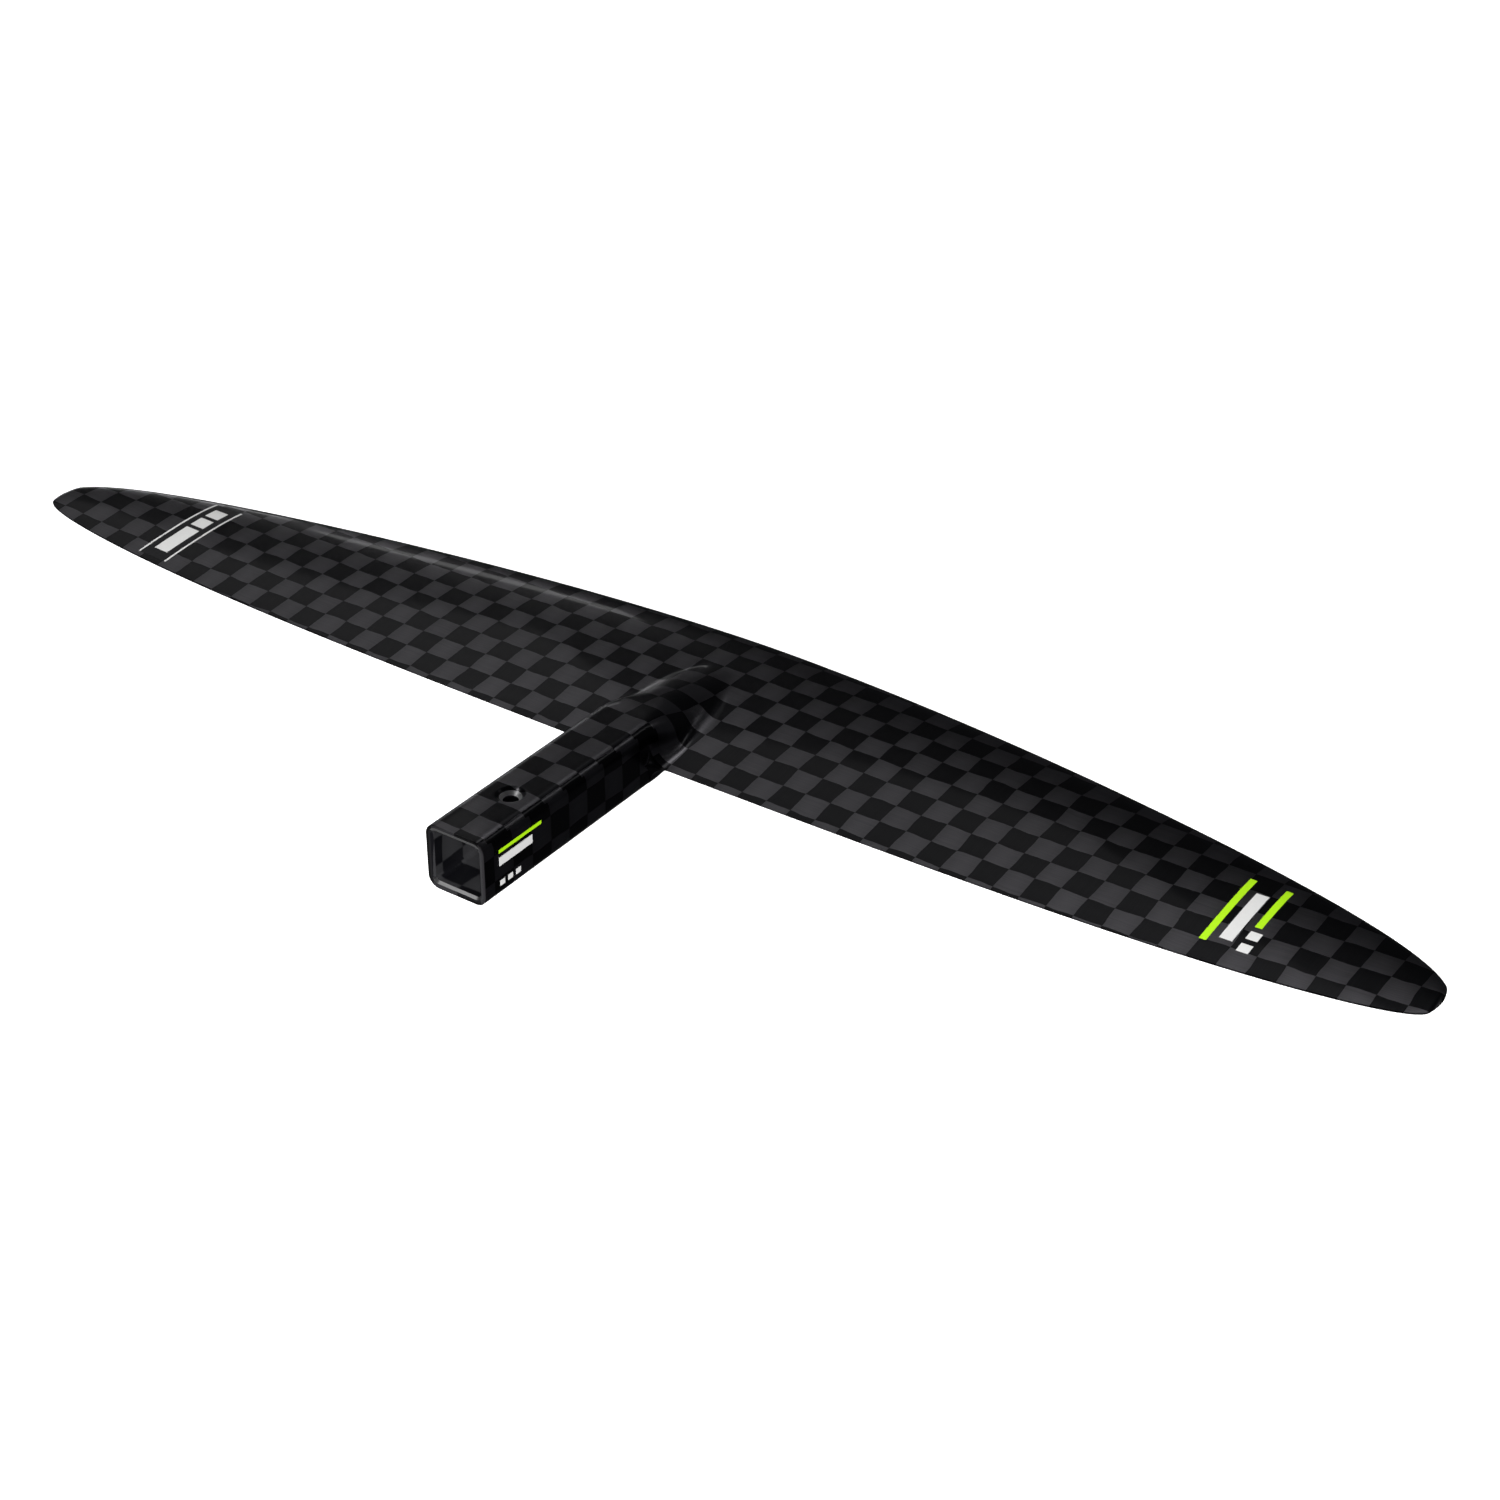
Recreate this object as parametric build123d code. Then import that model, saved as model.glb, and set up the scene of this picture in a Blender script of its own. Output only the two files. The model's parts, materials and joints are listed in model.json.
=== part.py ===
from build123d import *
import os
from math import acos, atan, cos, pi, radians, sin, sqrt, tan

os.makedirs("parts", exist_ok=True)

# A carbon hydrofoil front wing whose root carries a square socket for the fuselage.
# Frame: the origin is the centre of the socket's mouth, on the socket's axis.
# +Y runs forward along the socket to the leading edge, +X along the span, +Z up.
# Lengths are in millimetres.

# Wing planform.
SPAN = 720.0
HALF_SPAN = SPAN / 2
ROOT_TRAILING_Y = 109.0      # mouth of the socket to the trailing edge at the root
ROOT_CHORD = 108.7
ROOT_LEADING_Y = ROOT_TRAILING_Y + ROOT_CHORD
TIP_Y = 137.0                # both edges run out to this line at the tip
LEADING_SHAPE = (1.745, 1.646)
TRAILING_SHAPE = (1.602, 6.238)
STATION_ANGLES = (15, 30, 43, 54, 64, 72, 79, 84, 88.2)

# Wing section.
UPPER_THICKNESS = 0.110      # thickness ratio over the chord line
LOWER_THICKNESS = 0.085      # thickness ratio under it
EDGE_HALF_THICKNESS = 0.4    # half the thickness of the trailing edge
ROOT_TRAILING_Z = -2.73
INCIDENCE = radians(0.53)
DIP = -0.8                   # the tips turn up: DIP * share^2 + TIP_RISE * share^4
TIP_RISE = 9.5

# Socket.
SOCKET_WIDTH = 30.0
SOCKET_HEIGHT = 30.4
SOCKET_CORNER = 5.5
SOCKET_SKIN = 1.4
SLEEVE_WALL = 2.0
SLEEVE_LENGTH = 104.0
CAVITY_DEPTH = 100.0
MOUTH_BEVEL = 1.0

# Countersunk screw hole in the top of the socket.
SCREW_Y = 35.5
SCREW_BORE_RADIUS = 3.3
SCREW_HEAD_RADIUS = 6.2

# Fairing that carries the socket into the wing.
UPPER_FAIRING = 76.0         # trailing edge to the front of the fairing
LOWER_FAIRING = 60.0
UPPER_FOOT = 27.0            # half width of the foot at the trailing edge
LOWER_FOOT = 26.0
LEAST_FOOT = 5.0             # half width of the foot at the front end, inside the wing
FOOT_SHAPE = (2.4, 1.6)      # plan of the foot, as a superellipse
FOOT_SINK = 1.0              # the foot ends this far inside the wing
CROWN_FALL = 1.25            # exponent of the crown's fall
CROWN_SINK = 0.4             # the crown ends this far inside the wing
SINK_POWER = 8               # it sinks only near the front end
FLAT_FALL = 1.6              # exponent of the flat top's narrowing
LEAST_FLAT = 1.2             # half width of the flat where the top is round
CONVEX_SHARES = (0.314, 0.57)
FAIRING_ROOT = 0.25          # the fairing reaches this far past the chord surface
ROUNDING_LENGTH = 30.0       # the flat top has become one round by here
FAIRING_START = 0.8          # the fairing starts this far behind the trailing edge
FAIRING_JOIN = 0.7           # the socket's bars end this far ahead of the fairing's start
JOIN_INSETS = (0.2, -0.1)    # the fairing starts inside the bar and then covers its end
FAIRING_SHARES = (0.1, 0.2, 0.3, 0.42, 0.56, 0.7, 0.82, 0.92, 1.0)
HOLLOW_SHARES = 6            # the hollow in the fairing ends at this one of the shares
ARC_STEPS = 5

# Laminate and what it encloses.
WING_SKIN = 1.0
NOSE_MARGIN = 3.0            # solid laminate behind the leading edge
TAIL_MARGIN = 9.0            # solid laminate ahead of the trailing edge
INNER_SHARES = (0.26, 0.5, 0.68, 0.81, 0.9, 0.955)
STRIP_WIDTH = 8.0            # of the leading and trailing edge strips
SPAR_WIDTH = 14.0
SPAR_CAP = 0.8
SPAR_MARGINS = (10.0, 20.0)  # the web's layer keeps clear of the nose and the tail
SPAR_SHARES = (0.26, 0.5, 0.68, 0.81, 0.9)
SPAR_ROOT_Y = 170.0
SPAR_TIP_Y = 143.0
SPAR_END = 318.0

# Printed film of the markings: plain bars and squares, as ranges along two axes.
FILM = 0.08
WING_MARKS = {
    "band_black": [((-292.0, -277.0), (117.0, 170.0))],
    "band_lines_white": [((-293.2, -292.2), (117.0, 170.0)), ((-276.8, -275.8), (117.0, 170.0))],
    "band_bars_white": [
        ((-288.5, -280.5), (123.0, 145.0)),
        ((-288.5, -280.5), (147.5, 155.0)),
        ((-288.5, -280.5), (157.5, 165.0)),
    ],
    "wing_bars_lime": [((265.0, 268.0), (124.0, 168.0)), ((280.5, 283.5), (140.0, 168.0))],
    "wing_bars_white": [
        ((271.5, 277.0), (128.0, 160.0)),
        ((280.5, 285.5), (124.0, 129.0)),
        ((280.5, 285.5), (132.0, 137.0)),
    ],
}
SOCKET_MARKS = {
    "socket_bar_lime": [((9.0, 36.0), (6.4, 8.0))],
    "socket_bars_white": [
        ((9.0, 30.0), (0.4, 4.4)),
        ((9.0, 12.0), (-9.0, -6.5)),
        ((14.0, 17.0), (-9.0, -6.5)),
        ((19.0, 22.0), (-9.0, -6.5)),
    ],
}

NOSE_POINTS = 13             # points along the chord on each side of a section
LAYER_POINTS = 9
CLEARANCE = 1.0              # cutting shapes stand this far out of what they cut
REACH = 500.0                # half size of the blocks that cut the wing into regions
LINE_SHARES = (0.25, 0.5, 0.7, 0.85, 0.95, 0.98)
SEAM_SHARES = (0.2, 0.4, 0.6, 0.75, 0.9, 1.05)


def edge_curve(share, shape):
    """Superellipse that is 1 at the root and 0 at the tip."""
    power, root = shape
    return max(1 - abs(share) ** power, 0) ** (1 / root)


def leading_y(x):
    """Leading edge at the span position x."""
    return TIP_Y + (ROOT_LEADING_Y - TIP_Y) * edge_curve(x / HALF_SPAN, LEADING_SHAPE)


def trailing_y(x):
    """Trailing edge at the span position x."""
    return TIP_Y - (TIP_Y - ROOT_TRAILING_Y) * edge_curve(x / HALF_SPAN, TRAILING_SHAPE)


def chord_z(x, y):
    """Height of the chord surface, which is also where the two skins meet."""
    share = x / HALF_SPAN
    bend = DIP * share ** 2 + TIP_RISE * share ** 4
    return ROOT_TRAILING_Z + (y - ROOT_TRAILING_Y) * tan(INCIDENCE) + bend


def thickness_curve(back):
    """Half thickness of the section at the chord fraction behind the nose, 0.5 at its most."""
    poly = -0.126 * back - 0.3516 * back ** 2 + 0.2843 * back ** 3 - 0.1036 * back ** 4
    return 5 * (0.2969 * sqrt(back) + poly)


def surface_z(x, y, side, inset=0.0):
    """Height of the upper (side 1) or lower (side -1) wing surface, moved in by inset."""
    chord = leading_y(x) - trailing_y(x)
    back = min(max((leading_y(x) - y) / chord, 0), 1)
    ratio = UPPER_THICKNESS if side > 0 else LOWER_THICKNESS
    depth = chord * ratio * thickness_curve(back) + EDGE_HALF_THICKNESS * back
    return chord_z(x, y) + side * (depth - inset)


def wire(*items):
    """One closed wire from a list of edges."""
    return Wire([edge for item in items for edge in item.edges()])


def chord_positions(x, front, rear, count):
    """Positions from nose to tail, closer together near both ends."""
    nose = leading_y(x) - front
    tail = trailing_y(x) + rear
    return [nose + (tail - nose) * (1 - cos(pi * i / (count - 1))) / 2 for i in range(count)]


def outer_section(x, outset=0.0):
    """Closed section of the wing's outside: one curve round the nose, and the tail face."""
    ys = chord_positions(x, 0, 0, NOSE_POINTS)
    top = [Vector(x, y, surface_z(x, y, 1, -outset)) for y in ys[1:]]
    bottom = [Vector(x, y, surface_z(x, y, -1, -outset)) for y in ys[1:]]
    nose = [Vector(x, ys[0] + outset, chord_z(x, ys[0]))]
    return wire(Spline(top[::-1] + nose + bottom), Line(bottom[-1], top[-1]))


def layer_section(x, inset, front, rear):
    """Closed section at an inset from both surfaces, between two margins."""
    ys = chord_positions(x, front, rear, LAYER_POINTS)
    top = [Vector(x, y, surface_z(x, y, 1, inset)) for y in ys]
    bottom = [Vector(x, y, surface_z(x, y, -1, inset)) for y in ys]
    ends = (Line(top[0], bottom[0]), Line(top[-1], bottom[-1]))
    return wire(Spline(top), Spline(bottom), *ends)


def across_span(shares):
    """Stations of the right half, the root, and the same stations on the left half."""
    return [-HALF_SPAN * s for s in reversed(shares)] + [0.0] + [HALF_SPAN * s for s in shares]


def wing_body(outset=0.0):
    """The wing's outside, without its fairing."""
    stations = across_span([sin(radians(angle)) for angle in STATION_ANGLES])
    return Solid.make_loft([outer_section(x, outset) for x in stations])


def wing_layer(inset, front, rear, shares):
    """The space inside the wing, at an inset from both surfaces."""
    return Solid.make_loft([layer_section(x, inset, front, rear) for x in across_span(shares)])


def above_seam():
    """Everything above the chord surface, where the upper and lower skins meet."""
    def section(x):
        low = [Vector(x, y, chord_z(x, y)) for y in (-REACH, REACH)]
        high = [Vector(x, y, REACH) for y in (REACH, -REACH)]
        return Wire.make_polygon(low + high)
    return Solid.make_loft([section(x) for x in across_span(SEAM_SHARES)])


def square_bar(inset, rear, front):
    """A bar with the socket's rounded section, inset from the socket's outside."""
    width = SOCKET_WIDTH - 2 * inset
    height = SOCKET_HEIGHT - 2 * inset
    section = Plane.XZ.offset(-rear) * RectangleRounded(width, height, SOCKET_CORNER - inset)
    return extrude(section, -(front - rear)).solid()


def fairing_share(y, side):
    """0 at the trailing edge, 1 at the fairing's front end."""
    length = UPPER_FAIRING if side > 0 else LOWER_FAIRING
    return min(max((y - ROOT_TRAILING_Y) / length, 0), 1)


def crown_z(y, side):
    """Height of the fairing along its centre line."""
    share = fairing_share(y, side)
    start = side * SOCKET_HEIGHT / 2 - surface_z(0, ROOT_TRAILING_Y, side)
    sink = side * CROWN_SINK * share ** SINK_POWER
    return surface_z(0, y, side) + start * (1 - share) ** CROWN_FALL - sink


def foot_x(y, side):
    """Half width of the fairing's foot, closing to a rounded front end."""
    widest = UPPER_FOOT if side > 0 else LOWER_FOOT
    return max(widest * edge_curve(fairing_share(y, side), FOOT_SHAPE), LEAST_FOOT)


def fairing_edge(y, side, inset):
    """Half of the fairing's outline: a convex arc, a wall and a concave arc to the foot."""
    rounding = min(max((y - ROOT_TRAILING_Y) / ROUNDING_LENGTH, 0), 1)
    flat = (SOCKET_WIDTH / 2 - SOCKET_CORNER) * (1 - rounding ** FLAT_FALL) + LEAST_FLAT
    foot = foot_x(y, side)
    lowest = side * chord_z(0, y) + FAIRING_ROOT
    floor = max(side * surface_z(foot, y, side) - FOOT_SINK, lowest)
    top = side * crown_z(y, side)
    rise, run = top - floor, foot - flat
    turn = min(2 * atan(rise / run), pi / 2)
    total = min(rise / (1 - cos(turn)), run / sin(turn))
    share = CONVEX_SHARES[0] + (CONVEX_SHARES[1] - CONVEX_SHARES[0]) * min(2 * rounding, 1)
    convex, concave = total * share, total * (1 - share)
    last = acos(min((floor + concave - lowest) / (concave + inset), 1))
    points = []
    for i in range(ARC_STEPS + 1):
        angle, radius = turn * i / ARC_STEPS, convex - inset
        points.append((flat + radius * sin(angle), top - convex + radius * cos(angle)))
    for i in range(1, ARC_STEPS + 1):
        angle, radius = turn + (last - turn) * i / ARC_STEPS, concave + inset
        points.append((foot - radius * sin(angle), floor + concave - radius * cos(angle)))
    return points


def fairing_start(inset):
    """Where a fairing starts, for its outside (inset 0) or for the hollow in it."""
    return ROOT_TRAILING_Y - FAIRING_START + inset


def fairing(side, inset):
    """One fairing: the solid between the chord surface and the fairing's outline."""
    start = fairing_start(inset)
    length = UPPER_FAIRING if side > 0 else LOWER_FAIRING
    shares = FAIRING_SHARES[:HOLLOW_SHARES] if inset else FAIRING_SHARES
    stations = [(start, JOIN_INSETS[0]), (start + FAIRING_JOIN, JOIN_INSETS[1])]
    stations += [(ROOT_TRAILING_Y + length * share, 0) for share in shares]
    wires = []
    for y, extra in stations:
        base = chord_z(0, y) - side * FAIRING_ROOT
        edge = fairing_edge(y, side, inset + extra)
        right = [Vector(px, y, side * pz) for px, pz in edge]
        left = [Vector(-p.X, p.Y, p.Z) for p in right]
        feet = (Vector(right[-1].X, y, base), Vector(left[-1].X, y, base))
        wires.append(wire(
            Line(left[0], right[0]), Spline(right), Line(right[-1], feet[0]),
            Line(feet[0], feet[1]), Line(feet[1], left[-1]), Spline(left[::-1]),
        ))
    return Solid.make_loft(wires)


def screw_hole():
    """The bore and the countersink, as the solid that they remove."""
    top = SOCKET_HEIGHT / 2
    cone = SCREW_HEAD_RADIUS - SCREW_BORE_RADIUS
    sink = Cone(SCREW_BORE_RADIUS, SCREW_HEAD_RADIUS + CLEARANCE, cone + CLEARANCE)
    bore = Cylinder(SCREW_BORE_RADIUS, top)
    return (Pos(0, SCREW_Y, top / 2 + CLEARANCE) * bore
            + Pos(0, SCREW_Y, top - (cone - CLEARANCE) / 2) * sink).solid()


def block(x_range, y_range):
    """A block through the whole height."""
    width, depth = x_range[1] - x_range[0], y_range[1] - y_range[0]
    centre = Pos((x_range[0] + x_range[1]) / 2, (y_range[0] + y_range[1]) / 2, 0)
    return (centre * Box(width, depth, 2 * REACH)).solid()


def ahead_of(line):
    """Everything ahead of a line y = line(x), as a prism through the whole height."""
    points = [Vector(x, line(x), -REACH) for x in across_span(LINE_SHARES)]
    far = [Vector(points[i].X, REACH, -REACH) for i in (-1, 0)]
    outline = wire(Spline(points), Line(points[-1], far[0]), Line(*far), Line(far[1], points[0]))
    return extrude(Face(outline), 2 * REACH, dir=(0, 0, 1)).solid()


def spar_line(x):
    """Centre line of the spar."""
    return SPAR_ROOT_Y + (SPAR_TIP_Y - SPAR_ROOT_Y) * (x / HALF_SPAN) ** 2


def skins(seam):
    """The upper and the lower skin, each with its half of the socket and its fairing."""
    outside = wing_body().fuse(
        fairing(1, 0), fairing(-1, 0), square_bar(0, 0, fairing_start(0) + FAIRING_JOIN)
    )
    inside = wing_layer(WING_SKIN, NOSE_MARGIN, TAIL_MARGIN, INNER_SHARES).fuse(
        fairing(1, SOCKET_SKIN), fairing(-1, SOCKET_SKIN),
        square_bar(SOCKET_SKIN, -CLEARANCE, fairing_start(SOCKET_SKIN) + FAIRING_JOIN),
    )
    laminate = outside - inside
    return (laminate & seam) - screw_hole(), laminate - seam


def sleeve():
    """The square tube inside the socket, bevelled round its mouth."""
    wall = SOCKET_SKIN + SLEEVE_WALL
    hollow = square_bar(wall, -CLEARANCE, SLEEVE_LENGTH + CLEARANCE)
    tube = square_bar(SOCKET_SKIN, 0, SLEEVE_LENGTH) - hollow
    bevel = loft([
        Plane.XZ.offset(-y) * RectangleRounded(
            SOCKET_WIDTH - 2 * edge, SOCKET_HEIGHT - 2 * edge, SOCKET_CORNER - edge
        )
        for y, edge in ((-MOUTH_BEVEL, wall - 2 * MOUTH_BEVEL), (MOUTH_BEVEL, wall))
    ])
    return tube - bevel.solid() - screw_hole()


def end_plug():
    """The plug that closes the front end of the sleeve."""
    return square_bar(SOCKET_SKIN + SLEEVE_WALL, CAVITY_DEPTH, SLEEVE_LENGTH)


def fairing_cores(seam, inside):
    """The filled space in front of the sleeve, above and below the wing's own core."""
    bar_end = fairing_start(SOCKET_SKIN) + FAIRING_JOIN
    space = square_bar(SOCKET_SKIN, SLEEVE_LENGTH, bar_end).fuse(
        fairing(1, SOCKET_SKIN), fairing(-1, SOCKET_SKIN)
    ) - inside
    return space & seam, space - seam


def wing_cores(seam, inside):
    """Everything inside the wing skins, as named pieces."""
    ahead_of_tail = ahead_of(lambda x: trailing_y(x) + TAIL_MARGIN + STRIP_WIDTH)
    ahead_of_core = ahead_of(lambda x: leading_y(x) - NOSE_MARGIN - STRIP_WIDTH)
    behind_spar = ahead_of(lambda x: spar_line(x) - SPAR_WIDTH / 2)
    before_spar = ahead_of(lambda x: spar_line(x) + SPAR_WIDTH / 2)
    middle = block((-SPAR_END, SPAR_END), (-REACH, REACH))
    sides = {"right": block((0, REACH), (-REACH, REACH)), "left": block((-REACH, 0), (-REACH, REACH))}
    tips = inside - middle
    wing = inside & middle
    band = (wing & behind_spar) - before_spar
    web_layer = wing_layer(WING_SKIN + SPAR_CAP, *SPAR_MARGINS, SPAR_SHARES)
    caps = band - web_layer
    pieces = {
        "shear_web": band & web_layer,
        "spar_cap_upper": caps & seam,
        "spar_cap_lower": caps - seam,
    }
    for name, side in sides.items():
        half = wing & side
        pieces["tip_block_" + name] = tips & side
        pieces["tail_strip_" + name] = half - ahead_of_tail
        pieces["rear_core_" + name] = (half & ahead_of_tail) - behind_spar
        pieces["front_core_" + name] = (half & before_spar) - ahead_of_core
        pieces["nose_strip_" + name] = half & ahead_of_core
    return pieces


def film_on_wing(bars, seam):
    """Printed film on the wing's upper surface, one solid for each bar."""
    outside, body = wing_body(FILM), wing_body()
    films = [((outside & block(*bar)) - body) & seam for bar in bars]
    return Compound([film.solid() for film in films])


def film_on_socket(bars):
    """Printed film on the right wall of the socket, one solid for each bar."""
    films = []
    for (rear, front), (low, high) in bars:
        centre = Pos(SOCKET_WIDTH / 2 + FILM / 2, (rear + front) / 2, (low + high) / 2)
        films.append((centre * Box(FILM, front - rear, high - low)).solid())
    return Compound(films)


def build():
    """Every piece by its node's name."""
    seam = above_seam()
    inside = wing_layer(WING_SKIN, NOSE_MARGIN, TAIL_MARGIN, INNER_SHARES)
    upper, lower = skins(seam)
    core_upper, core_lower = fairing_cores(seam, inside)
    pieces = {
        "upper_skin": upper,
        "lower_skin": lower,
        "socket_sleeve": sleeve(),
        "socket_end_plug": end_plug(),
        "fairing_core_upper": core_upper,
        "fairing_core_lower": core_lower,
    }
    pieces.update(wing_cores(seam, inside))
    pieces.update({name: film_on_wing(bars, seam) for name, bars in WING_MARKS.items()})
    pieces["band_black"] -= pieces["band_bars_white"]
    pieces.update({name: film_on_socket(bars) for name, bars in SOCKET_MARKS.items()})
    return pieces


for node, shape in build().items():
    print(node, round(shape.volume), shape.is_valid, len(shape.solids()))
    export_step(shape, "parts/" + node + ".step")
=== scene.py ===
import json
from math import atan, cos, pi, radians, sin, sqrt, tan

import bmesh
import bpy
from mathutils import Euler, Matrix, Vector

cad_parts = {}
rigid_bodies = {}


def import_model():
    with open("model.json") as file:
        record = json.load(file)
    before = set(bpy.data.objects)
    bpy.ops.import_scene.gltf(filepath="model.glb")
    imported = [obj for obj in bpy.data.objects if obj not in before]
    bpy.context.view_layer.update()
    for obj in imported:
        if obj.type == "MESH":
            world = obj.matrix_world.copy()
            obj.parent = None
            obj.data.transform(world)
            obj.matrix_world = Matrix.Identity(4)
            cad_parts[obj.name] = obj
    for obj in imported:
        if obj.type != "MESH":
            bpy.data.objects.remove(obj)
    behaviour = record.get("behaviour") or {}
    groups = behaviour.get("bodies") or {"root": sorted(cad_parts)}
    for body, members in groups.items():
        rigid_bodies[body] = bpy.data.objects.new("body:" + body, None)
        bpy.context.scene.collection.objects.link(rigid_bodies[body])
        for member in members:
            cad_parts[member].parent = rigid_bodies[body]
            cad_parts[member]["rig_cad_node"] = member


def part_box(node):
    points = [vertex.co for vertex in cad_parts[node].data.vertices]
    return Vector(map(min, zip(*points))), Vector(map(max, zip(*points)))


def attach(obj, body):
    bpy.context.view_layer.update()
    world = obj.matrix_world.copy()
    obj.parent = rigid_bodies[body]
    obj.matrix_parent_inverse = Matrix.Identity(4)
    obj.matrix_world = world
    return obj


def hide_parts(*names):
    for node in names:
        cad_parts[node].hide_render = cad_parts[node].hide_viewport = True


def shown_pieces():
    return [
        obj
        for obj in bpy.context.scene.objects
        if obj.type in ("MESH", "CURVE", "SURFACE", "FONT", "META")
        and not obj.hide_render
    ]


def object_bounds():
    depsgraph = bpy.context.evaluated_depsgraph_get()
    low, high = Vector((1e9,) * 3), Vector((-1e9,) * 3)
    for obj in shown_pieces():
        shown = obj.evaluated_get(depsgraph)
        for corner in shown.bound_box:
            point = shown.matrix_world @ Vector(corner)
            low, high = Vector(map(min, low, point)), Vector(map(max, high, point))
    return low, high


# A carbon hydrofoil front wing, in the CAD's own frame: +Y forward along the socket, +X along
# the span, +Z up, with the origin at the centre of the socket's mouth. Lengths are in
# millimetres until a mesh is made, and in metres in the materials and on the stage.

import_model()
cad_low, cad_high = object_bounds()

MM = 0.001

# Wing planform and section, as in the CAD.
HALF_SPAN = 360.0
TIP_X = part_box("upper_skin")[1][0] / MM
ROOT_TRAILING_Y = 109.0
ROOT_LEADING_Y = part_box("upper_skin")[1][1] / MM
TIP_Y = 137.0
LEADING_SHAPE = (1.745, 1.646)
TRAILING_SHAPE = (1.602, 6.238)
THICKNESS = {1: 0.110, -1: 0.085}   # over the chord, above (1) and below (-1) it
EDGE_HALF_THICKNESS = 0.4
ROOT_TRAILING_Z = -2.73
INCIDENCE = radians(0.53)
DIP = -0.8
TIP_RISE = 9.5
TIP_ROUNDING = 2.5           # plan and section close in a round over this length
TIP_MIDDLE_Y = 133.1         # where they close to
LEAST_TIP_SHARE = 0.03

# Socket and screw hole.
SOCKET_HALF_WIDTH = 15.0
SOCKET_TOP = 15.2
SOCKET_CORNER = 5.5
SOCKET_FLAT = SOCKET_HALF_WIDTH - SOCKET_CORNER
SOCKET_SKIN = 1.4
MOUTH_ROUNDING = ((0.0, 0.3), (0.04, 0.15), (0.15, 0.04), (0.3, 0.0))   # (y, inset)
SCREW_Y = 35.5
SCREW_HEAD_RADIUS = 6.2
SCREW_LIP = 0.15
SCREW_CONE_END = 4.9

# Fairing.
FAIRING_LENGTH = {1: 76.0, -1: 60.0}
FOOT_LENGTH = {1: 77.5, -1: 61.0}
FOOT_HALF_WIDTH = 24.6
FOOT_END = 4.0
FOOT_SHAPE = (2.4, 1.6)
CROWN_SHAPE = (1.35, 0.625)  # how the ridge falls to the wing
FLAT_FALL = 1.6
LEAST_FLAT = 1.0
ROUNDING_LENGTH = 30.0
CONVEX_SHARES = (0.364, 0.6, 0.63)   # at the trailing edge, its growth, and its most
FLARE = 6.0                  # the web between wing and socket runs out over this length

# Skin thickness and mesh density.
WING_SKIN = 1.0
EDGE_SKIN = 0.3
DEEPEST_SHARE = 0.8          # of the height over the chord surface that a skin may fill
LEVEL = 1e-6                 # below this a height counts as none
LEAST_SLOPE = 1e-3
CENTRE_X = 30.0              # the middle block of the mesh reaches this far out
LEAST_COLUMN_X = 10.0
NOSE_SHARE = 0.15
NOSE_ROWS = 18
CHORD_ROWS = 42
FLAT_COLUMNS = 6
HOLE_COLUMNS = 5
PROFILE_COLUMNS = 30
OUTER_COLUMNS = 8
SPAN_COLUMNS = 64
FLARE_ROWS = 10
SOCKET_STEP = 5.0
PATCH_SHARES = (0.35, 0.7, 1.0)      # rings between the screw hole's square and its lip


# ---------------------------------------------------------------- shape of the wing


def edge_curve(share, shape):
    """Superellipse that is 1 at the root and 0 at the tip."""
    power, root = shape
    return max(1 - abs(share) ** power, 0) ** (1 / root)


def tip_factor(x):
    """1 over the span, falling in a round at the tip."""
    beyond = (abs(x) - (TIP_X - TIP_ROUNDING)) / TIP_ROUNDING
    return max(sqrt(max(1 - max(beyond, 0) ** 2, 0)), LEAST_TIP_SHARE)


def leading_y(x):
    y = TIP_Y + (ROOT_LEADING_Y - TIP_Y) * edge_curve(x / HALF_SPAN, LEADING_SHAPE)
    return TIP_MIDDLE_Y + (y - TIP_MIDDLE_Y) * tip_factor(x)


def trailing_y(x):
    y = TIP_Y - (TIP_Y - ROOT_TRAILING_Y) * edge_curve(x / HALF_SPAN, TRAILING_SHAPE)
    return TIP_MIDDLE_Y + (y - TIP_MIDDLE_Y) * tip_factor(x)


def chord_z(x, y):
    """Height of the chord surface, where the upper and the lower skin meet."""
    share = x / HALF_SPAN
    bend = DIP * share ** 2 + TIP_RISE * share ** 4
    return ROOT_TRAILING_Z + (y - ROOT_TRAILING_Y) * tan(INCIDENCE) + bend


def thickness_curve(back):
    """Four-digit wing section: half thickness at a chord fraction, 0.5 at its most."""
    poly = -0.126 * back - 0.3516 * back ** 2 + 0.2843 * back ** 3 - 0.1036 * back ** 4
    return 5 * (0.2969 * sqrt(back) + poly)


def surface_z(x, y, side):
    """Height of the upper (side 1) or lower (side -1) wing surface."""
    chord = leading_y(x) - trailing_y(x)
    back = min(max((leading_y(x) - y) / chord, 0), 1)
    depth = chord * THICKNESS[side] * thickness_curve(back) + EDGE_HALF_THICKNESS * back
    return chord_z(x, y) + side * depth * tip_factor(x)


def chord_y(x, back):
    """Position along the chord at the span position x."""
    return leading_y(x) - (leading_y(x) - trailing_y(x)) * back


# ---------------------------------------------------------------- outlines of the middle


def arc(centre, radius, start, end, steps=12):
    """Points on an arc; the angles are measured from straight out, towards +X."""
    angles = [start + (end - start) * i / steps for i in range(steps + 1)]
    return [(centre[0] + radius * sin(a), centre[1] + radius * cos(a)) for a in angles]


def resample(path, count):
    """count + 1 points at even steps along a path."""
    steps = [(Vector(b) - Vector(a)).length for a, b in zip(path, path[1:])]
    total = sum(steps)
    points = []
    k, gone = 0, 0.0
    for i in range(count + 1):
        want = total * i / count
        while k < len(steps) - 1 and gone + steps[k] < want:
            gone += steps[k]
            k += 1
        share = min((want - gone) / steps[k], 1) if steps[k] else 0
        points.append(tuple(Vector(path[k]).lerp(Vector(path[k + 1]), share)))
    return points


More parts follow.
